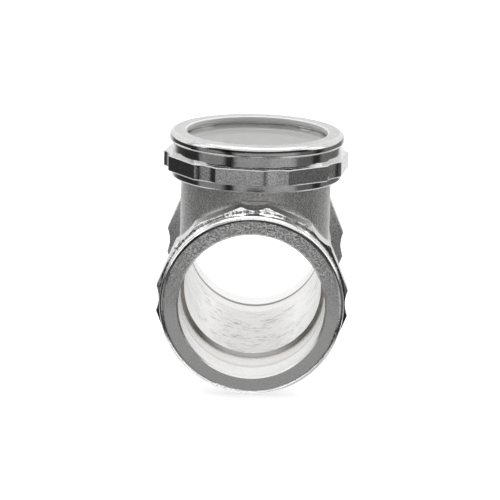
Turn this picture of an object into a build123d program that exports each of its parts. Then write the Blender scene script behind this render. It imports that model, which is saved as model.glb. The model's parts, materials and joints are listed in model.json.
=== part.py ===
from build123d import *
import os
from math import cos, radians, tan

# Sight glass: a tee-shaped pipe fitting with one round window on its branch.
# Millimetres. +Y runs along the flow and +Z points out through the window.
# The pieces are drawn about the point where those two axes cross, then lifted
# together, so that the origin is under that point on the surface they stand on.

# Octagons with scooped corners, round both pipe ends and round the ring nut.
CORNERS = 8
SCALLOP_RADIUS = 10.8
SCALLOP_DEPTH = 0.85  # below the straight line between its two edges
SCALLOP_HALF_ANGLE = 7.7

# Pipe ends: a plain socket inside an octagonal spanner collar.
# Places along the flow are distances from the window axis.
OVERALL_LENGTH = 97.0
COLLAR_ACROSS_FLATS = 60.0
COLLAR_FRONT = 41.0
COLLAR_WIDTH = 5.6
COLLAR_CHAMFER = 1.3
COLLAR_BACK_SLOPE = 3.4
END_RING_RADIUS = 29.5
END_RING_ROUNDING = 1.8
BARREL_RADIUS = 26.5

PORT_MOUTH_RADIUS = 23.95
PORT_RADIUS = 23.4
SHOULDER_FRONT = 25.9
SHOULDER_BACK = 25.0
BORE_RADIUS = 22.4

# Branch with the window seat on top.
NECK_RADIUS = 25.0
NECK_BORE_RADIUS = 21.5
NECK_TOP = 38.7
NECK_FILLET = 3.0
NECK_LEAD_IN = 0.8
PAD_WIDTH = 8.8
PAD_BOTTOM = 25.5
PAD_PROUD = 0.35

# M52 x 1.5 thread between branch and ring nut.
NUT_PITCH = 1.5
NUT_FLANK_ANGLE = 30.0
NECK_CREST_RADIUS = 26.0
NECK_ROOT_RADIUS = 25.08
NECK_GROOVE_WIDTH = NUT_PITCH / 4  # at its bottom
NECK_THREAD_BOTTOM = 32.0
NECK_BLANK_BOTTOM = NECK_THREAD_BOTTOM - 2 * NUT_PITCH
THREAD_CLEARANCE = 0.15  # radial, and along the axis at each flank
THREAD_START = 37.0  # where each groove starts, in degrees from +X

# Window stack, from the seat up.
SEAL_THICKNESS = 1.5
SEAL_INNER_RADIUS = 22.0
GLASS_RADIUS = 24.9
GLASS_THICKNESS = 5.0
GLASS_CHAMFER = 0.5
SLIP_RING_THICKNESS = 0.5
SLIP_RING_INNER_RADIUS = 23.8

# Ring nut, from the top down.
OPENING_RADIUS = 23.5
OPENING_CHAMFER = 0.4
LIP_THICKNESS = 1.7
RIM_RADIUS = 29.1
RIM_HEIGHT = 3.5
RIM_ROUNDING = 1.9
WALL_RADIUS = 28.1
WALL_HEIGHT = 3.5
NUT_ACROSS_FLATS = 59.6
NUT_FLAT_DIRECTION = -100.0  # of one flat, from +X towards +Y
BAND_HEIGHT = 5.4
BAND_CHAMFER = 0.3
SKIRT_RADIUS = 28.4
SKIRT_HEIGHT = 2.6
SKIRT_CHAMFER = 0.4
NUT_RELIEF_RADIUS = 26.2
NUT_RELIEF_HEIGHT = 1.8

# What follows from the sizes above.
HALF_LENGTH = OVERALL_LENGTH / 2
HALF_CORNER = 180 / CORNERS
FLAT_HALF_ANGLE = HALF_CORNER - SCALLOP_HALF_ANGLE
COLLAR_RADIUS = COLLAR_ACROSS_FLATS / 2 / cos(radians(FLAT_HALF_ANGLE))
FLOW_AXIS_HEIGHT = COLLAR_RADIUS * cos(radians(SCALLOP_HALF_ANGLE))
GLASS_BOTTOM = NECK_TOP + SEAL_THICKNESS
GLASS_TOP = GLASS_BOTTOM + GLASS_THICKNESS
LIP_UNDERSIDE = GLASS_TOP + SLIP_RING_THICKNESS
NUT_TOP = LIP_UNDERSIDE + LIP_THICKNESS
RIM_BOTTOM = NUT_TOP - RIM_HEIGHT
RIM_UNDERSIDE_ROUNDING = RIM_RADIUS - WALL_RADIUS
BAND_TOP = RIM_BOTTOM - WALL_HEIGHT
BAND_BOTTOM = BAND_TOP - BAND_HEIGHT
NUT_BOTTOM = BAND_BOTTOM - SKIRT_HEIGHT
NUT_BORE_RADIUS = NECK_ROOT_RADIUS + THREAD_CLEARANCE
NUT_GROOVE_RADIUS = NECK_CREST_RADIUS + THREAD_CLEARANCE
NUT_RELIEF_BOTTOM = NECK_TOP + NUT_PITCH / 4

# How far cutting solids reach past the surface that they open.
OVERSHOOT = 1.0
GROOVE_OVERSHOOT = 0.3
NUT_GROOVE_EXTRA_TURNS = 0.3  # ends the nut's groove inside its relief

ALONG_FLOW = Rot(90, 0, 0)
OTHER_END = Rot(0, 0, 180)
OTHER_WAY_UP = Rot(180, 0, 0)
UPWARDS = (Align.CENTER, Align.CENTER, Align.MIN)
FROM_FRONT_UP = (Align.CENTER, Align.MIN, Align.MIN)


def disc(radius, bottom, top):
    """A cylinder on the window axis."""
    return Pos(0, 0, bottom) * Cylinder(radius, top - bottom, align=UPWARDS)


def ring(inner, outer, bottom, top):
    """A plain ring on the window axis."""
    return disc(outer, bottom, top) - disc(inner, bottom, top)


def round_edges(solid):
    """The solid's circular edges, from the lowest to the highest."""
    return solid.edges().filter_by(GeomType.CIRCLE).sort_by(Axis.Z)


def lead_in(mouth_radius, mouth):
    """A 45 degree cone to chamfer a hole that opens downwards at this height."""
    bottom_radius = mouth_radius + OVERSHOOT
    return Pos(0, 0, mouth - OVERSHOOT) * Cone(bottom_radius, 0, bottom_radius, align=UPWARDS)


def turned_end(points):
    """A solid of revolution about the flow axis, from (radius, distance) points, at the front end."""
    outline = Polyline(*[(radius, -distance) for radius, distance in points], close=True)
    return revolve(make_face(outline), Axis.Y)


def both_ends(solid):
    """The solid and the same solid turned round to the other pipe end."""
    return [solid, OTHER_END * solid]


def thread_groove(pitch, turns, flank_angle, bottom_radius, bottom_width, open_radius):
    """A right-handed helical groove that climbs +Z from Z = 0, as a solid to cut with."""
    widening = abs(bottom_radius - open_radius) * tan(radians(flank_angle))
    half_bottom = bottom_width / 2
    half_open = half_bottom + widening
    outline = Polyline(
        (open_radius, -half_open),
        (bottom_radius, -half_bottom),
        (bottom_radius, half_bottom),
        (open_radius, half_open),
        close=True,
    )
    path = Helix(pitch, pitch * turns, open_radius)
    return Rot(0, 0, THREAD_START) * sweep(make_face(Plane.XZ * outline), path=path, is_frenet=True)


def scooped_octagon(across_flats):
    """The outline of an octagon with each corner scooped out by a shallow scallop, one along +X."""
    edge_radius = across_flats / 2 / cos(radians(FLAT_HALF_ANGLE))
    between_edges = edge_radius * cos(radians(SCALLOP_HALF_ANGLE))
    outline = RegularPolygon(across_flats / 2, CORNERS, major_radius=False)
    for place in PolarLocations(between_edges - SCALLOP_DEPTH + SCALLOP_RADIUS, CORNERS):
        outline -= place * Circle(SCALLOP_RADIUS)
    return outline


def collar():
    """The front octagonal collar, with sloping front and back."""
    prism = extrude(Plane.XZ * scooped_octagon(COLLAR_ACROSS_FLATS), HALF_LENGTH)
    back = COLLAR_FRONT - COLLAR_WIDTH
    envelope = turned_end(
        [
            (0, COLLAR_FRONT + COLLAR_CHAMFER),
            (END_RING_RADIUS, COLLAR_FRONT + COLLAR_CHAMFER),
            (COLLAR_RADIUS, COLLAR_FRONT),
            (COLLAR_RADIUS, back),
            (BARREL_RADIUS, back - COLLAR_BACK_SLOPE),
            (0, back - COLLAR_BACK_SLOPE),
        ]
    )
    return prism & envelope


def end_ring():
    """The turned spigot in front of the collar, with a rounded outer edge."""
    back = COLLAR_FRONT - COLLAR_WIDTH
    spigot = turned_end(
        [(0, HALF_LENGTH), (END_RING_RADIUS, HALF_LENGTH), (END_RING_RADIUS, back), (0, back)]
    )
    front_edge = spigot.edges().filter_by(GeomType.CIRCLE).sort_by(Axis.Y)[0]
    return fillet(front_edge, END_RING_ROUNDING)


def pad():
    """The small smooth pad, left blank, on the front of the branch."""
    block = Box(PAD_WIDTH, 2 * OVERSHOOT, NECK_THREAD_BOTTOM - PAD_BOTTOM, align=FROM_FRONT_UP)
    return Pos(0, -NECK_RADIUS - PAD_PROUD, PAD_BOTTOM) * block


def tee_blank():
    """The solid outside of the casting: barrel, branch, collars, end rings and the blank pad."""
    barrel = ALONG_FLOW * Cylinder(BARREL_RADIUS, 2 * COLLAR_FRONT)
    branch = barrel + disc(NECK_RADIUS, 0, NECK_TOP)
    blank = fillet(branch.edges().filter_by(GeomType.BSPLINE), NECK_FILLET)
    blank += pad()
    blank += both_ends(collar()) + both_ends(end_ring())
    return blank + disc(NECK_CREST_RADIUS, NECK_BLANK_BOTTOM, NECK_TOP)


def port():
    """The inside of the front port: mouth chamfer, plain wall, and shoulder down to the bore."""
    mouth_depth = PORT_MOUTH_RADIUS - PORT_RADIUS
    return turned_end(
        [
            (0, HALF_LENGTH + OVERSHOOT),
            (PORT_MOUTH_RADIUS + OVERSHOOT, HALF_LENGTH + OVERSHOOT),
            (PORT_RADIUS, HALF_LENGTH - mouth_depth),
            (PORT_RADIUS, SHOULDER_FRONT),
            (BORE_RADIUS, SHOULDER_BACK),
            (0, SHOULDER_BACK),
        ]
    )


def neck_thread():
    """The groove of the branch's outside thread."""
    turns = (NECK_TOP - NECK_THREAD_BOTTOM) / NUT_PITCH + 1
    groove = thread_groove(
        NUT_PITCH,
        turns,
        NUT_FLANK_ANGLE,
        NECK_ROOT_RADIUS,
        NECK_GROOVE_WIDTH,
        NECK_CREST_RADIUS + GROOVE_OVERSHOOT,
    )
    return Pos(0, 0, NECK_THREAD_BOTTOM - NUT_PITCH / 2) * groove


def neck_lead_in():
    """What the 45 degree chamfer takes off the top of the branch's thread."""
    low = NECK_TOP - NECK_LEAD_IN - OVERSHOOT
    low_radius = NECK_CREST_RADIUS + OVERSHOOT
    height = NECK_LEAD_IN + 2 * OVERSHOOT
    cone = Pos(0, 0, low) * Cone(low_radius, low_radius - height, height, align=UPWARDS)
    return disc(low_radius + OVERSHOOT, low, low + height) - cone


def body():
    """The one-piece body: an octagon-ended tee with a threaded branch."""
    tee = tee_blank() - ALONG_FLOW * Cylinder(BORE_RADIUS, OVERALL_LENGTH + 2 * OVERSHOOT)
    tee -= both_ends(port())
    tee -= neck_thread()
    tee -= ring(NECK_RADIUS, NECK_CREST_RADIUS + OVERSHOOT, NECK_BLANK_BOTTOM, NECK_THREAD_BOTTOM)
    tee -= disc(NECK_BORE_RADIUS, 0, NECK_TOP + OVERSHOOT)
    return tee - neck_lead_in()


def window_seal():
    """The flat seal between the branch's seat and the glass."""
    return ring(SEAL_INNER_RADIUS, GLASS_RADIUS, NECK_TOP, GLASS_BOTTOM)


def window_glass():
    """The round window pane, with its sharp edges taken off."""
    pane = disc(GLASS_RADIUS, GLASS_BOTTOM, GLASS_TOP)
    return chamfer(round_edges(pane), GLASS_CHAMFER)


def slip_ring():
    """The thin ring that lets the nut turn without dragging the glass round."""
    return ring(SLIP_RING_INNER_RADIUS, GLASS_RADIUS, GLASS_TOP, LIP_UNDERSIDE)


def nut_blank():
    """The turned outside of the ring nut: rounded rim, wall and skirt."""
    rim = disc(RIM_RADIUS, RIM_BOTTOM, NUT_TOP)
    rim = fillet(round_edges(rim)[-1], RIM_ROUNDING)
    rim = fillet(round_edges(rim)[0], RIM_UNDERSIDE_ROUNDING)
    skirt = disc(SKIRT_RADIUS, NUT_BOTTOM, BAND_BOTTOM)
    skirt = chamfer(round_edges(skirt)[0], SKIRT_CHAMFER)
    return rim + disc(WALL_RADIUS, NUT_BOTTOM, RIM_BOTTOM) + skirt


def nut_band():
    """The octagonal spanner band round the ring nut, with its top and bottom edges broken."""
    prism = Pos(0, 0, BAND_BOTTOM) * extrude(scooped_octagon(NUT_ACROSS_FLATS), BAND_HEIGHT)
    rims = prism.faces().filter_by(Axis.Z).edges()
    return Rot(0, 0, NUT_FLAT_DIRECTION + HALF_CORNER) * chamfer(rims, BAND_CHAMFER)


def nut_thread():
    """The groove of the nut's inside thread, centred on the branch's ridge and clear of it all round."""
    narrowing = 2 * (NUT_GROOVE_RADIUS - NECK_ROOT_RADIUS) * tan(radians(NUT_FLANK_ANGLE))
    start = NECK_THREAD_BOTTOM - NUT_PITCH
    groove = thread_groove(
        NUT_PITCH,
        (NUT_RELIEF_BOTTOM - start) / NUT_PITCH + NUT_GROOVE_EXTRA_TURNS,
        NUT_FLANK_ANGLE,
        NUT_GROOVE_RADIUS,
        NUT_PITCH - NECK_GROOVE_WIDTH - narrowing + 2 * THREAD_CLEARANCE,
        NUT_BORE_RADIUS - GROOVE_OVERSHOOT,
    )
    return Pos(0, 0, start) * groove


def ring_nut():
    """The ring nut that clamps the glass down, open over the window."""
    nut = nut_blank() + nut_band()
    nut -= disc(NUT_BORE_RADIUS, NUT_BOTTOM, LIP_UNDERSIDE)
    nut -= nut_thread()
    nut -= disc(NUT_RELIEF_RADIUS, NUT_RELIEF_BOTTOM, NUT_RELIEF_BOTTOM + NUT_RELIEF_HEIGHT)
    nut -= lead_in(NUT_GROOVE_RADIUS, NUT_BOTTOM)
    nut -= disc(OPENING_RADIUS, LIP_UNDERSIDE, NUT_TOP)
    return nut - OTHER_WAY_UP * lead_in(OPENING_RADIUS + OPENING_CHAMFER, -NUT_TOP)


PIECES = {
    "body": body,
    "window_seal": window_seal,
    "window_glass": window_glass,
    "slip_ring": slip_ring,
    "ring_nut": ring_nut,
}

os.makedirs("parts", exist_ok=True)
for name, make in PIECES.items():
    export_step(Pos(0, 0, FLOW_AXIS_HEIGHT) * make(), f"parts/{name}.step")
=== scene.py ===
import json
from math import cos, hypot, pi, radians, sin

import bpy
from mathutils import Matrix, Vector


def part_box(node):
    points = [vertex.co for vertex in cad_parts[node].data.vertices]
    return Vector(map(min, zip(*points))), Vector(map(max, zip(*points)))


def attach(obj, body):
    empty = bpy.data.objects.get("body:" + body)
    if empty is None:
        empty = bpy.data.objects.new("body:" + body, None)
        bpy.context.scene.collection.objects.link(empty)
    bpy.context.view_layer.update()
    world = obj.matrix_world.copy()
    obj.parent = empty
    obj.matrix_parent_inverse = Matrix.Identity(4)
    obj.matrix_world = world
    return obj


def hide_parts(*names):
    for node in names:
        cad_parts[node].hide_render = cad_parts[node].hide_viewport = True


# Sight glass: finishes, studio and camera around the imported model. Metres, in the model's frame:
# +Y along the flow, +Z out through the window, standing on Z = 0.

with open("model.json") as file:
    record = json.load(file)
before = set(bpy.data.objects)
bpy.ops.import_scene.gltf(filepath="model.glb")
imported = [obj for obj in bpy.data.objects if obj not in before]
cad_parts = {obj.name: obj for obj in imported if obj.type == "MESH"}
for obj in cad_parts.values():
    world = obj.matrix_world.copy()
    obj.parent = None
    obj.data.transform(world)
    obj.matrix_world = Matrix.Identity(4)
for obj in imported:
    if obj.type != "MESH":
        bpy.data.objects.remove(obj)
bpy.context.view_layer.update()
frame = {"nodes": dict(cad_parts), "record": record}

MM = 0.001
MOUNTS = {mount["name"]: mount for mount in frame["record"]["mounts"]}
FLOW_Z = MOUNTS["inlet"]["pos_m"][2]
PORT_RADIUS = MOUNTS["inlet"]["dims"]["r_mm"] * MM
END_Y = -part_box("body")[0].y
SEAL_LOW, SEAL_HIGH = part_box("window_seal")
SEAL_RADII = [hypot(v.co.x, v.co.y) for v in frame["nodes"]["window_seal"].data.vertices]
NUT_LOW, NUT_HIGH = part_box("ring_nut")
BAND_TOP_Z = NUT_LOW.z + 8.1 * MM

# Where one finish ends and the next begins: distances from the window axis along the flow,
# heights, and radii.
SHOULDER_Y = 26.0 * MM
SHOULDER_INNER_Y = 24.9 * MM
SOCKET_LINE_Y = END_Y - 11.5 * MM
SOCKET_LIMIT = PORT_RADIUS + 0.6 * MM
COLLAR_BACK_Y = 35.3 * MM
COLLAR_FRONT_Y = 40.95 * MM
TURNED_FRONT_RADIUS = 27.4 * MM
RING_FOOT_Y = 42.6 * MM
CONE_RADIUS = 29.6 * MM
BARREL_LIMIT = 26.9 * MM
NECK_THREAD_Z = FLOW_Z + 31.9 * MM
NECK_THREAD_LIMIT = 26.1 * MM
NECK_INSIDE = 21.6 * MM
PAD_Y = -25.2 * MM
PAD_HALF_WIDTH = 4.5 * MM
BAND_INNER_RADIUS = 28.5 * MM
HAIR = 0.05 * MM

# Where one finish ends by a face's direction: the part of its normal along an axis, which is 1
# on a face square to that axis and 0 on a face that runs along it.
SQUARE_ON = 0.99
EXACTLY_SQUARE = 0.999
CHAMBER_WALL = 0.9
CONE_SLOPE = 0.5
SHOULDER_SLOPE = 0.2
UPRIGHT = 0.1
NUT_INSIDE = -0.3

# The moulded seal, which is a little smaller than the space between the glass and its seat.
SEAL_CLEARANCE = 0.04 * MM
SEAL_ROUNDING = 0.35 * MM
SEAL_SEGMENTS = 144
CORNER_SEGMENTS = 5

# What the finishes share. Noise scales are per millimetre.
NOISE_RANGE = (0.3, 0.7)
FINE_RINGS = 6.0
BROAD_RINGS = 0.9
TURNED_STREAK = 0.8
LENGTHWAYS_PITCH = 1.37
RING_DEPTH = 0.02 * MM
SHARP_EDGE = 0.1 * MM

# The floor: a wide sheet just under the fitting, which glows a little so that it stays pale.
FLOOR_SIZE = 6.0
FLOOR_Z = -0.2 * MM
FLOOR_COLOUR = (0.93, 0.93, 0.93, 1.0)
FLOOR_GLOW = 0.6


# ---------------------------------------------------------------- node helpers


class Nodes:
    """A material's node tree, with short calls for the nodes that the finishes share."""

    def __init__(self, name):
        self.material = bpy.data.materials.new(name)
        self.material.use_nodes = True
        self.tree = self.material.node_tree
        self.shader = self.tree.nodes["Principled BSDF"]

    def add(self, kind, **inputs):
        """A node with its inputs set to values, or linked where the value is a socket."""
        node = self.tree.nodes.new(kind)
        for name, value in inputs.items():
            self.feed(node.inputs[name.replace("_", " ")], value)
        return node

    def feed(self, socket, value):
        if isinstance(value, bpy.types.NodeSocket):
            self.tree.links.new(value, socket)
        else:
            socket.default_value = value

    def set(self, **inputs):
        """Sets or links the shader's own sockets."""
        for name, value in inputs.items():
            self.feed(self.shader.inputs[name.replace("_", " ")], value)

    def math(self, operation, first, second=0.0):
        """A sum on one or two values or sockets, as a socket."""
        node = self.tree.nodes.new("ShaderNodeMath")
        node.operation = operation
        self.feed(node.inputs[0], first)
        self.feed(node.inputs[1], second)
        return node.outputs[0]

    def place(self):
        """Object coordinates in millimetres, as x, y and z sockets with z from the flow axis."""
        coordinates = self.tree.nodes.new("ShaderNodeTexCoord").outputs["Object"]
        split = self.add("ShaderNodeSeparateXYZ", Vector=coordinates)
        x, y, z = (self.math("MULTIPLY", socket, 1 / MM) for socket in split.outputs)
        return x, y, self.math("SUBTRACT", z, FLOW_Z / MM)

    def vector(self, x, y, z):
        return self.add("ShaderNodeCombineXYZ", X=x, Y=y, Z=z).outputs[0]

    def noise(self, vector, scale, detail=4.0, roughness=0.55):
        """Noise over a vector in millimetres, with scale waves to a millimetre."""
        node = self.add("ShaderNodeTexNoise", Vector=vector, Scale=scale, Detail=detail, Roughness=roughness)
        return node.outputs["Fac"]

    def band(self, value, low, high, to_low=0.0, to_high=1.0):
        """The value stretched so that low and high become to_low and to_high, and held there."""
        node = self.tree.nodes.new("ShaderNodeMapRange")
        for socket, number in zip(node.inputs, (value, low, high, to_low, to_high)):
            self.feed(socket, number)
        return node.outputs["Result"]

    def spread(self, noise, to_low=0.0, to_high=1.0):
        """The noise's usual range stretched to reach from to_low to to_high."""
        return self.band(noise, *NOISE_RANGE, to_low, to_high)

    def blend(self, factor, first, second):
        """A colour between two colours."""
        node = self.tree.nodes.new("ShaderNodeMix")
        node.data_type = "RGBA"
        self.feed(node.inputs[0], factor)
        self.feed(node.inputs[6], first)
        self.feed(node.inputs[7], second)
        return node.outputs[2]

    def bump(self, height, strength, distance, normal=None):
        node = self.add("ShaderNodeBump", Height=height, Strength=strength, Distance=distance)
        if normal is not None:
            self.feed(node.inputs["Normal"], normal)
        return node.outputs["Normal"]

    def soft_edge(self, radius):
        """The normal of the surface with its edges broken by a small radius."""
        node = self.add("ShaderNodeBevel", Radius=radius)
        node.samples = 6
        return node.outputs[0]


def grey(value, warmth=0.0):
    """A near-neutral colour. Positive warmth leans it towards nickel's yellow."""
    return (value * (1 + warmth), value, value * (1 - 1.6 * warmth), 1.0)


def turning(nodes, axis, streak):
    """Coordinates that run fast across a turned surface and slowly round it, so noise makes rings."""
    x, y, z = nodes.place()
    across, along = (z, y) if axis == "flow" else (y, z)
    squares = nodes.math("ADD", nodes.math("POWER", x, 2.0), nodes.math("POWER", across, 2.0))
    radius = nodes.math("SQRT", squares)
    ring = nodes.math("ADD", radius, nodes.math("MULTIPLY", along, LENGTHWAYS_PITCH))
    side = nodes.math("DIVIDE", nodes.math("MULTIPLY", x, streak), radius)
    top = nodes.math("DIVIDE", nodes.math("MULTIPLY", across, streak), radius)
    return nodes.vector(ring, side, top)


# ---------------------------------------------------------------- finishes


def turned_metal(name, axis, colour, rough, rings=0.35, edge=0.25 * MM, worn=0.25, cloud=0.15,
                 grain=0.0, mottle=0.0, metallic=1.0):
    """Nickel plate over a turned surface: fine rings, cloudy polish, specks and softened edges.

    Rings, worn, cloud, grain and mottle are strengths from 0 to 1: of the tool rings, the dark
    specks, the dull clouds, the fine roughness and the dark flecks. Edge is a radius.
    """
    nodes = Nodes(name)
    coordinates = turning(nodes, axis, TURNED_STREAK)
    fine = nodes.noise(coordinates, FINE_RINGS, 3.0)
    broad = nodes.noise(coordinates, BROAD_RINGS, 3.0)
    place = nodes.vector(*nodes.place())
    spot = nodes.noise(place, 0.22, 5.0, 0.6)
    pits = nodes.noise(place, 2.6, 4.0, 0.7)
    speck = nodes.math("MULTIPLY", nodes.band(pits, 0.58, 0.68), worn)
    tone = nodes.math("MULTIPLY", nodes.spread(spot, 1 - cloud), nodes.spread(broad, 1 - cloud))
    dark = tuple(part * 0.4 for part in colour[:3]) + (1.0,)
    fleck = nodes.band(nodes.noise(place, 1.9, 3.0, 0.7), 0.42, 0.60, 0.0, mottle)
    base = nodes.blend(fleck, nodes.blend(tone, dark, colour), dark)
    base = nodes.blend(speck, base, grey(0.12, 0.04))
    polish = nodes.spread(broad, rough * 0.75, rough * 1.25)
    roughness = nodes.math("ADD", polish, nodes.math("MULTIPLY", speck, 0.3))
    nodes.set(Base_Color=base, Metallic=metallic, Roughness=roughness)
    normal = nodes.bump(fine, rings, RING_DEPTH, nodes.soft_edge(edge))
    normal = nodes.bump(pits, grain, 0.08 * MM, normal)
    nodes.set(Normal=nodes.bump(spot, 0.15, 0.3 * MM, normal))
    return nodes.material


def socket_metal():
    """The socket's wall: bright towards the mouth, darker and warmer further in, with painted shade as a
    dark line at the step and in the corner by the shoulder.
    """
    nodes = Nodes("socket_wall")
    _, y, _ = nodes.place()
    along = nodes.math("ABSOLUTE", y)
    coordinates = turning(nodes, "flow", TURNED_STREAK)
    fine = nodes.noise(coordinates, FINE_RINGS, 3.0)
    broad = nodes.noise(coordinates, BROAD_RINGS, 3.0)
    # Painted shade: a dark line where the wall steps, four times stronger in the far port than in the near
    # one.
    line_at = SOCKET_LINE_Y / MM
    outside = nodes.band(along, line_at - 0.1, line_at + 0.1)
    off_line = nodes.math("ABSOLUTE", nodes.math("SUBTRACT", along, line_at))
    outlet = nodes.band(y, -1.0, 1.0, 0.25, 1.0)
    painted_shade_line = nodes.math("MULTIPLY", nodes.band(off_line, 0.9, 1.6, 0.95, 0.0), outlet)
    bright = nodes.blend(nodes.spread(broad), grey(0.88, 0.003), grey(0.97, 0.003))
    darker_tone = nodes.blend(nodes.spread(broad), grey(0.78, 0.02), grey(0.90, 0.02))
    # Painted shade: the wall darkens towards dark grey in the corner by the shoulder.
    painted_shade_at_shoulder = nodes.band(along, SHOULDER_Y / MM, SHOULDER_Y / MM + 1.5, 0.3, 0.0)
    base = nodes.blend(outside, nodes.blend(painted_shade_at_shoulder, darker_tone, grey(0.3, 0.05)), bright)
    nodes.set(Base_Color=nodes.blend(painted_shade_line, base, grey(0.12, -0.01)), Metallic=1.0)
    nodes.set(Roughness=nodes.spread(broad, 0.2, 0.34))
    nodes.set(Normal=nodes.bump(fine, 0.35, RING_DEPTH, nodes.soft_edge(SHARP_EDGE)))
    return nodes.material


def shoulder_metal():
    """The socket's conical shoulder: darker grey at the sides, with a painted highlight along the bottom."""
    nodes = Nodes("socket_shoulder")
    x, _, z = nodes.place()
    rings = nodes.noise(turning(nodes, "flow", 1.5), 4.0, 3.0)
    # Painted highlight: along the bottom the shoulder is painted near-white and made less metallic, standing
    # in for the light that comes down through the window.
    painted_highlight = nodes.math("MULTIPLY", nodes.band(nodes.math("ABSOLUTE", x), 7.0, 16.0, 1.0, 0.0),
                        nodes.band(z, -14.0, -19.0))
    darker_tone = nodes.blend(nodes.spread(rings), grey(0.40, 0.05), grey(0.66, 0.04))
    nodes.set(Base_Color=nodes.blend(painted_highlight, darker_tone, grey(0.94, 0.005)))
    nodes.set(Metallic=nodes.band(painted_highlight, 0.0, 1.0, 0.8, 0.25))
    nodes.set(Roughness=nodes.band(painted_highlight, 0.0, 1.0, 0.32, 0.6))
    nodes.set(Normal=nodes.bump(rings, 0.4, RING_DEPTH, nodes.soft_edge(SHARP_EDGE)))
    return nodes.material


def nicked_metal(name, nicked):
    """The collars' turned fronts: bright plate, more or less nicked, with painted shade at the end ring's
    foot.
    """
    nodes = Nodes(name)
    x, y, z = nodes.place()
    place = nodes.vector(x, y, z)
    ridges = nodes.noise(turning(nodes, "flow", 0.9), 1.1, 2.0, 0.5)
    streaks = nodes.noise(turning(nodes, "flow", 3.0), 1.6, 3.0, 0.7)
    nicks = nodes.noise(place, 0.9, 3.0, 0.7)
    grooves = nodes.band(ridges, 0.57, 0.59, 0.0, nicked)
    scores = nodes.band(streaks, 0.58, 0.61, 0.0, nicked)
    marks = nodes.math("MAXIMUM", scores, nodes.band(nicks, 0.60, 0.64, 0.0, nicked))
    # Painted shade: a dark band of uneven width in the crease at the end ring's foot.
    past_foot = nodes.math("SUBTRACT", nodes.math("ABSOLUTE", y), RING_FOOT_Y / MM)
    from_foot = nodes.math("ABSOLUTE", past_foot)
    reach = nodes.band(nicks, 0.35, 0.65, 0.2, 1.0)
    inside_reach = nodes.band(nodes.math("SUBTRACT", from_foot, reach), -0.2, 0.2, 1.0, 0.0)
    painted_shade_at_foot = nodes.math("MULTIPLY", inside_reach, 0.92)
    dark = nodes.math("MAXIMUM", nodes.math("MAXIMUM", marks, grooves), painted_shade_at_foot)
    nodes.set(Base_Color=nodes.blend(dark, grey(0.96, 0.002), grey(0.06, 0.01)), Metallic=1.0)
    nodes.set(Roughness=nodes.spread(nicks, 0.08, 0.2))
    normal = nodes.bump(ridges, 0.25, 0.1 * MM, nodes.soft_edge(0.25 * MM))
    nodes.set(Normal=nodes.bump(nicks, 0.3, 0.1 * MM, normal))
    return nodes.material


def bore_metal():
    """The through bore: turned and bright, darker along the bottom, with short dark scuffs."""
    nodes = Nodes("through_bore")
    fine = nodes.noise(turning(nodes, "flow", 1.2), 5.0, 3.0)
    broad = nodes.noise(turning(nodes, "flow", TURNED_STREAK), 0.8, 3.0)
    scuffs = nodes.noise(turning(nodes, "flow", 9.0), 0.75, 4.0, 0.7)
    patch = nodes.band(nodes.noise(nodes.vector(*nodes.place()), 0.08, 2.0), 0.40, 0.56)
    marks = nodes.math("MULTIPLY", nodes.band(scuffs, 0.53, 0.62), patch)
    # Darker towards the bottom of the bore.
    darker_bottom = nodes.band(nodes.place()[2], -17.0, -21.5, 0.0, 0.55)
    base = nodes.blend(nodes.spread(broad), grey(0.88, 0.004), grey(0.98, 0.003))
    base = nodes.blend(darker_bottom, base, grey(0.60, 0.02))
    base = nodes.blend(nodes.math("MULTIPLY", marks, 0.75), base, grey(0.14, 0.05))
    nodes.set(Base_Color=base, Metallic=1.0)
    nodes.set(Roughness=nodes.spread(broad, 0.24, 0.36))
    nodes.set(Normal=nodes.bump(fine, 0.45, RING_DEPTH, nodes.soft_edge(SHARP_EDGE)))
    return nodes.material


def end_face_metal():
    """The faced pipe end: satin, with a rough pitted skin towards the top."""
    nodes = Nodes("faced_end")
    x, y, z = nodes.place()
    rings = nodes.noise(turning(nodes, "flow", TURNED_STREAK), 7.0, 2.0)
    place = nodes.vector(x, y, z)
    pits = nodes.noise(place, 1.4, 5.0, 0.75)
    cloud = nodes.noise(place, 0.16, 3.0)
    towards_top = nodes.band(z, -4.0, 24.0)
    rough_skin = nodes.math("MULTIPLY", towards_top, nodes.band(cloud, 0.35, 0.6, 0.5, 1.0))
    marks = nodes.math("MULTIPLY", nodes.band(pits, 0.48, 0.53), rough_skin)
    sparkle = nodes.noise(place, 1.6, 3.0)
    glints = nodes.math("MULTIPLY", nodes.band(sparkle, 0.56, 0.62), rough_skin)
    base = nodes.blend(nodes.spread(rings), grey(0.86, 0.002), grey(0.97, 0.002))
    base = nodes.blend(nodes.math("MULTIPLY", marks, 0.9), base, grey(0.08, 0.01))
    base = nodes.blend(glints, base, grey(0.97, 0.002))
    nodes.set(Base_Color=base, Metallic=1.0)
    duller = nodes.math("MULTIPLY", marks, 0.25)
    nodes.set(Roughness=nodes.math("ADD", nodes.spread(rings, 0.22, 0.3), duller))
    normal = nodes.bump(rings, 0.25, RING_DEPTH, nodes.soft_edge(0.2 * MM))
    nodes.set(Normal=nodes.bump(pits, nodes.math("MULTIPLY", rough_skin, 0.95), 0.7 * MM, normal))
    return nodes.material


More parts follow.
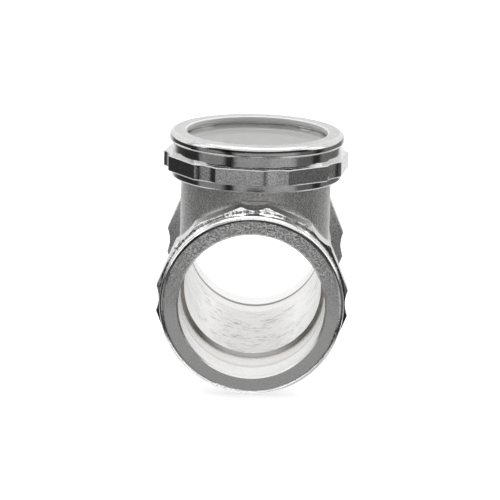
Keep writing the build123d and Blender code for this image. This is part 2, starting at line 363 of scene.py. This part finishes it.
def cast_metal():
    """Nickel plate over a shot-blasted casting: close even grain with a few larger dimples."""
    nodes = Nodes("cast_nickel")
    place = nodes.vector(*nodes.place())
    grain = nodes.noise(place, 1.9, 3.0, 0.7)
    dimple = nodes.band(nodes.noise(place, 0.7, 2.0), 0.35, 0.62)
    cloud = nodes.noise(place, 0.12, 4.0)
    base = nodes.blend(nodes.band(grain, 0.38, 0.62), grey(0.42, 0.004), grey(0.96, 0.002))
    base = nodes.blend(nodes.band(cloud, 0.35, 0.7, 0.0, 0.3), base, grey(0.6, 0.02))
    nodes.set(Base_Color=base, Metallic=1.0, Roughness=nodes.spread(grain, 0.32, 0.50))
    nodes.set(Sheen_Weight=0.9, Sheen_Roughness=0.25)
    normal = nodes.bump(grain, 0.8, 0.16 * MM, nodes.soft_edge(0.3 * MM))
    nodes.set(Normal=nodes.bump(dimple, 0.3, 0.14 * MM, normal))
    return nodes.material


def glass():
    """Clear toughened pane with a trace of dust and fine wiping marks."""
    nodes = Nodes("clear_pane")
    place = nodes.vector(*nodes.place())
    dust = nodes.band(nodes.noise(place, 0.9, 5.0, 0.7), 0.52, 0.8)
    nodes.set(Base_Color=(0.965, 0.972, 0.955, 1.0), Metallic=0.0, IOR=1.5, Transmission_Weight=1.0)
    nodes.set(Roughness=nodes.math("ADD", nodes.math("MULTIPLY", dust, 0.06), 0.02))
    nodes.set(Normal=nodes.bump(dust, 0.03, 0.01 * MM))
    return nodes.material


def silicone():
    """Matt off-white seal with a moulded grain."""
    nodes = Nodes("seal_silicone")
    grain = nodes.noise(nodes.vector(*nodes.place()), 3.0, 4.0, 0.6)
    nodes.set(Base_Color=nodes.blend(grain, grey(0.80, 0.02), grey(0.90, 0.015)))
    nodes.set(Roughness=nodes.spread(grain, 0.5, 0.7), Normal=nodes.bump(grain, 0.3, 0.05 * MM))
    return nodes.material


def plastic():
    """White low-friction ring with the faint rings of a skived sheet."""
    nodes = Nodes("slip_ring_white")
    rings = nodes.noise(turning(nodes, "window", TURNED_STREAK), 3.0, 3.0)
    nodes.set(Base_Color=nodes.blend(rings, grey(0.70, 0.02), grey(0.84, 0.015)))
    nodes.set(Roughness=nodes.spread(rings, 0.32, 0.5))
    nodes.set(Normal=nodes.bump(rings, 0.2, RING_DEPTH))
    return nodes.material


def body_finish(centre, normal):
    """The name of the finish on a face of the body with this centre and normal."""
    height = centre.z - FLOW_Z
    along = abs(centre.y)
    lengthways = abs(normal.y)
    from_flow = hypot(centre.x, height)
    from_window = hypot(centre.x, centre.y)
    inside_neck = from_window < NECK_INSIDE and height > 0
    faces_flow = (normal.x * centre.x + normal.z * height) < 0 and from_flow < SOCKET_LIMIT
    if along > END_Y - HAIR and lengthways > SQUARE_ON:
        return "end_face"
    if along > COLLAR_FRONT_Y and from_flow > TURNED_FRONT_RADIUS and lengthways < EXACTLY_SQUARE:
        return "cone" if from_flow > CONE_RADIUS and lengthways > CONE_SLOPE else "end_ring"
    if along > SHOULDER_Y and faces_flow:
        return "socket"
    at_shoulder = SHOULDER_Y > along > SHOULDER_INNER_Y and from_flow < PORT_RADIUS + HAIR
    if at_shoulder and lengthways > SHOULDER_SLOPE:
        return "shoulder"
    if inside_neck and abs(normal.z) < CHAMBER_WALL and from_flow > PORT_RADIUS - MM:
        return "chamber"
    if faces_flow or inside_neck:
        return "bore"
    if centre.z > NECK_THREAD_Z and from_window < NECK_THREAD_LIMIT:
        return "thread"
    if along > COLLAR_BACK_Y and from_flow > BARREL_LIMIT:
        return "collar"
    if centre.y < PAD_Y and normal.y < -SQUARE_ON and abs(centre.x) < PAD_HALF_WIDTH:
        return "collar"
    return "cast"


def paint(mesh, finishes, finish_of):
    """Gives a CAD node one material slot per finish, and each face the slot that it needs."""
    mesh.materials.clear()
    for material in finishes.values():
        mesh.materials.append(material)
    order = list(finishes)
    for face in mesh.polygons:
        face.material_index = order.index(finish_of(face.center, face.normal))


def nut_finish(centre, normal):
    """The name of the finish on a face of the ring nut with this centre and normal."""
    radius = hypot(centre.x, centre.y)
    outward = (normal.x * centre.x + normal.y * centre.y) / radius
    if outward < NUT_INSIDE:
        return "inside"
    if normal.z > SQUARE_ON and centre.z > NUT_HIGH.z - HAIR:
        return "rim"
    if radius > BAND_INNER_RADIUS and abs(normal.z) < UPRIGHT and centre.z < BAND_TOP_Z:
        return "band"
    return "turned"


def finish_body():
    """The body's finishes, from the cast skin to the turned ends and bores."""
    finishes = {
        "cast": cast_metal(),
        "end_face": end_face_metal(),
        "thread": turned_metal("neck_thread", "flow", grey(0.88, 0.003), 0.12, rings=0.4,
                               worn=0.5, mottle=0.25),
        "cone": nicked_metal("turned_cone", 0.8),
        "end_ring": nicked_metal("end_ring", 0.5),
        "collar": turned_metal("collar_flats", "flow", grey(0.72, 0.003), 0.22, rings=0.1, edge=0.45 * MM,
                               worn=0.1, grain=0.3, mottle=0.2),
        "socket": socket_metal(),
        "shoulder": shoulder_metal(),
        "chamber": turned_metal("branch_inside", "window", grey(0.80, 0.025), 0.5, rings=0.3,
                                edge=SHARP_EDGE, worn=0.3),
        "bore": bore_metal(),
    }
    paint(frame["nodes"]["body"].data, finishes, body_finish)


def finish_nut():
    """The ring nut's finishes: polished outside, satin rim, mottled spanner band and plain inside."""
    finishes = {
        "turned": turned_metal("nut_polished", "window", grey(0.84, 0.003), 0.1, rings=0.3,
                               edge=0.22 * MM, worn=0.4, mottle=0.3),
        "rim": turned_metal("nut_rim", "window", grey(0.72, 0.002), 0.22, edge=0.3 * MM, cloud=0.25,
                            grain=0.3, mottle=0.3),
        "band": turned_metal("nut_band", "window", grey(0.97, 0.001), 0.11, rings=0.05, edge=0.3 * MM,
                             worn=0.7, grain=0.25, mottle=0.7),
        "inside": turned_metal("nut_inside", "window", grey(0.97, 0.003), 0.6, rings=0.3,
                               edge=SHARP_EDGE, worn=0.1, cloud=0.05, metallic=0.45),
    }
    paint(frame["nodes"]["ring_nut"].data, finishes, nut_finish)


def seal_outline():
    """The seal's section as (radius, height) points: a rectangle with rounded corners."""
    inset = SEAL_CLEARANCE + SEAL_ROUNDING
    inner, outer = min(SEAL_RADII) + inset, max(SEAL_RADII) - inset
    low, high = SEAL_LOW.z + inset, SEAL_HIGH.z - inset
    points = []
    for corner, (radius, height) in enumerate(((outer, high), (inner, high), (inner, low), (outer, low))):
        for step in range(CORNER_SEGMENTS + 1):
            angle = pi / 2 * (corner + step / CORNER_SEGMENTS)
            points.append((radius + SEAL_ROUNDING * cos(angle), height + SEAL_ROUNDING * sin(angle)))
    return points


def seal_ring():
    """The moulded seal, with rounded edges, just clear of the glass and its seat."""
    outline = seal_outline()
    count = len(outline)
    verts = []
    for segment in range(SEAL_SEGMENTS):
        angle = 2 * pi * segment / SEAL_SEGMENTS
        verts += [(radius * cos(angle), radius * sin(angle), height) for radius, height in outline]
    faces = []
    for segment in range(SEAL_SEGMENTS):
        here, there = segment * count, (segment + 1) % SEAL_SEGMENTS * count
        for point in range(count):
            after = (point + 1) % count
            faces.append((here + point, there + point, there + after, here + after))
    mesh = bpy.data.meshes.new("seal_ring")
    mesh.from_pydata(verts, [], faces)
    mesh.shade_smooth()
    mesh.materials.append(silicone())
    ring = bpy.data.objects.new("seal_ring", mesh)
    bpy.context.scene.collection.objects.link(ring)
    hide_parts("window_seal")
    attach(ring, "fitting")


def finish_window():
    """The pane and its slip ring."""
    for node, material in {"window_glass": glass(), "slip_ring": plastic()}.items():
        frame["nodes"][node].data.materials[0] = material


# ---------------------------------------------------------------- studio


def floor():
    """The pale floor under the fitting. The metal doesn't mirror it, because the room stands for it."""
    half = FLOOR_SIZE / 2
    corners = [(-half, -half, 0), (half, -half, 0), (half, half, 0), (-half, half, 0)]
    mesh = bpy.data.meshes.new("floor")
    mesh.from_pydata(corners, [], [(0, 1, 2, 3)])
    panel = bpy.data.objects.new("floor", mesh)
    bpy.context.scene.collection.objects.link(panel)
    panel.location = (0, 0, FLOOR_Z)
    panel.visible_glossy = False
    nodes = Nodes("floor_paint")
    nodes.set(Base_Color=FLOOR_COLOUR, Roughness=0.9)
    nodes.set(Emission_Color=FLOOR_COLOUR, Emission_Strength=FLOOR_GLOW)
    mesh.materials.append(nodes.material)


def soft_box(name, location, width, height, power):
    """A rectangular soft light aimed at the flow axis."""
    light = bpy.data.lights.new(name, "AREA")
    light.shape = "RECTANGLE"
    light.size = width
    light.size_y = height
    light.energy = power
    lamp = bpy.data.objects.new(name, light)
    bpy.context.scene.collection.objects.link(lamp)
    lamp.location = location
    aim = Vector((0, 0, FLOW_Z)) - Vector(location)
    lamp.rotation_euler = aim.to_track_quat("-Z", "Y").to_euler()
    return lamp


class Sky:
    """The world's node tree: brightness as a function of direction."""

    def __init__(self):
        self.world = bpy.data.worlds.new("studio")
        self.world.use_nodes = True
        self.tree = self.world.node_tree
        self.background = self.tree.nodes["Background"]

    def node(self, kind, *values, operation=None):
        """A node with its first inputs set to values, or linked where a value is a socket."""
        node = self.tree.nodes.new(kind)
        if operation:
            node.operation = operation
        for socket, value in zip(node.inputs, values):
            if isinstance(value, bpy.types.NodeSocket):
                self.tree.links.new(value, socket)
            else:
                socket.default_value = value
        return node

    def math(self, operation, *values):
        return self.node("ShaderNodeMath", *values, operation=operation).outputs[0]

    def step(self, value, low, high):
        """From 0 at low to 1 at high, smoothly."""
        node = self.node("ShaderNodeMapRange", value, low, high)
        node.interpolation_type = "SMOOTHSTEP"
        return node.outputs["Result"]


# Brightness of the room up to eye level, by turn from +Y through -X, -Y and +X back to +Y: white
# behind the object, a dim room behind the camera, and dark gaps between the lit panels.
ROOM = (
    (0.00, 1.0), (0.055, 1.0), (0.085, 0.70), (0.11, 0.24), (0.135, 0.07), (0.19, 0.035), (0.262, 0.03),
    (0.278, 0.27), (0.37, 0.25), (0.39, 0.02), (0.41, 0.02), (0.43, 0.35), (0.545, 0.35), (0.575, 0.42),
    (0.64, 0.42), (0.665, 0.14), (0.72, 0.14), (0.735, 0.03), (0.765, 0.03), (0.78, 0.19), (0.86, 0.17),
    (0.905, 0.20), (0.935, 0.80), (0.96, 1.0), (1.00, 1.0),
)
ROOM_ABOVE_EYE_LEVEL = 0.12

# Where the room's parts begin and are full, as parts of a direction's unit vector: y towards the
# back, z up, and below for z down.
FRONT_HALF = (0.2, 0.7)
EYE_LEVEL = (-0.06, 0.12)
CEILING = (0.55, 0.75)
GAP_OVER_FLOOR = (0.34, 0.40)
GAP_SHADE = 0.85
FLOOR_EDGE_BEHIND = 0.22
FLOOR_EDGE_DROP_IN_FRONT = 0.30
FLOOR_FADE = 0.14
BACKDROP_FOOT = (-0.02, 0.12)
BACKDROP_SIDES = (-0.15, 0.35)


def surroundings():
    """The world that the metal mirrors, and pure white where the camera sees it directly."""
    sky = Sky()
    direction = sky.tree.nodes.new("ShaderNodeTexCoord").outputs["Generated"]
    x, y, z = sky.node("ShaderNodeSeparateXYZ", direction).outputs
    turn = sky.math("ARCTAN2", x, sky.math("MULTIPLY", y, -1.0))
    ramp = sky.node("ShaderNodeValToRGB", sky.math("MULTIPLY_ADD", turn, 0.5 / pi, 0.5))
    stops = ramp.color_ramp.elements
    stops[0].position, stops[1].position = ROOM[0][0], ROOM[-1][0]
    for place, _ in ROOM[1:-1]:
        stops.new(place)
    for stop, (_, level) in zip(stops, ROOM):
        stop.color = (level, level, level, 1.0)
    front = sky.math("SUBTRACT", 1.0, sky.step(y, *FRONT_HALF))
    unlit = sky.math("MULTIPLY", sky.step(z, *EYE_LEVEL), front)
    kept = sky.math("SUBTRACT", 1.0, sky.math("MULTIPLY", unlit, 1.0 - ROOM_ABOVE_EYE_LEVEL))
    room = sky.math("MULTIPLY", ramp.outputs[0], kept)
    below = sky.math("MULTIPLY", z, -1.0)
    gap = sky.math("MULTIPLY", sky.step(below, *GAP_OVER_FLOOR), front)
    room = sky.math("MULTIPLY", room, sky.math("SUBTRACT", 1.0, sky.math("MULTIPLY", gap, GAP_SHADE)))
    floor_edge = sky.math("MULTIPLY_ADD", front, FLOOR_EDGE_DROP_IN_FRONT, FLOOR_EDGE_BEHIND)
    lit_floor = sky.step(below, floor_edge, sky.math("ADD", floor_edge, FLOOR_FADE))
    backdrop = sky.math("MULTIPLY", sky.step(z, *BACKDROP_FOOT), sky.step(y, *BACKDROP_SIDES))
    white = sky.math("MAXIMUM", sky.step(z, *CEILING), backdrop)
    seen_directly = sky.tree.nodes.new("ShaderNodeLightPath").outputs["Is Camera Ray"]
    white = sky.math("MAXIMUM", sky.math("MAXIMUM", white, lit_floor), seen_directly)
    sky.tree.links.new(sky.math("MAXIMUM", room, white), sky.background.inputs["Strength"])
    sky.background.inputs["Color"].default_value = (1.0, 1.0, 1.0, 1.0)
    return sky.world


def studio():
    """Pale floor, a white and dim room, soft boxes at the sides and above, and a fill in front."""
    scene = bpy.context.scene
    scene.view_settings.view_transform = "Standard"
    scene.world = surroundings()
    floor()
    soft_box("left_box", (-0.62, -0.10, 0.40), 0.3, 0.5, 0.5)
    soft_box("right_box", (0.62, -0.02, 0.40), 0.3, 0.5, 0.5)
    soft_box("top_box", (0, 0.15, 0.7), 0.6, 0.4, 1.2)
    fill = soft_box("front_fill", (0, -0.8, 0.12), 0.5, 0.3, 1.6)
    fill.visible_glossy = False
    fill.visible_transmission = False


# ---------------------------------------------------------------- camera

AIM = Vector((-1.38, 0.0, 36.97)) * MM
CAMERA_DISTANCE = 855.1 * MM
PITCH = radians(14.412)
YAW = radians(-0.562)
ROLL = radians(1.49)
LENS = 183.13
SENSOR_WIDTH = 36.0
NEAREST = 0.01


def camera():
    """The camera, square to the front port, a little above it and far back."""
    forward = Vector((sin(YAW) * cos(PITCH), cos(YAW) * cos(PITCH), -sin(PITCH)))
    level = Vector((cos(YAW), -sin(YAW), 0))
    upright = level.cross(forward)
    right = cos(ROLL) * level + sin(ROLL) * upright
    up = -sin(ROLL) * level + cos(ROLL) * upright
    data = bpy.data.cameras.new("camera")
    data.lens = LENS
    data.sensor_width = SENSOR_WIDTH
    data.clip_start = NEAREST
    eye = bpy.data.objects.new("camera", data)
    bpy.context.scene.collection.objects.link(eye)
    turn = Matrix((right, up, -forward)).transposed().to_4x4()
    eye.matrix_world = Matrix.Translation(AIM - CAMERA_DISTANCE * forward) @ turn
    bpy.context.scene.camera = eye


finish_body()
finish_nut()
finish_window()
seal_ring()
studio()
camera()
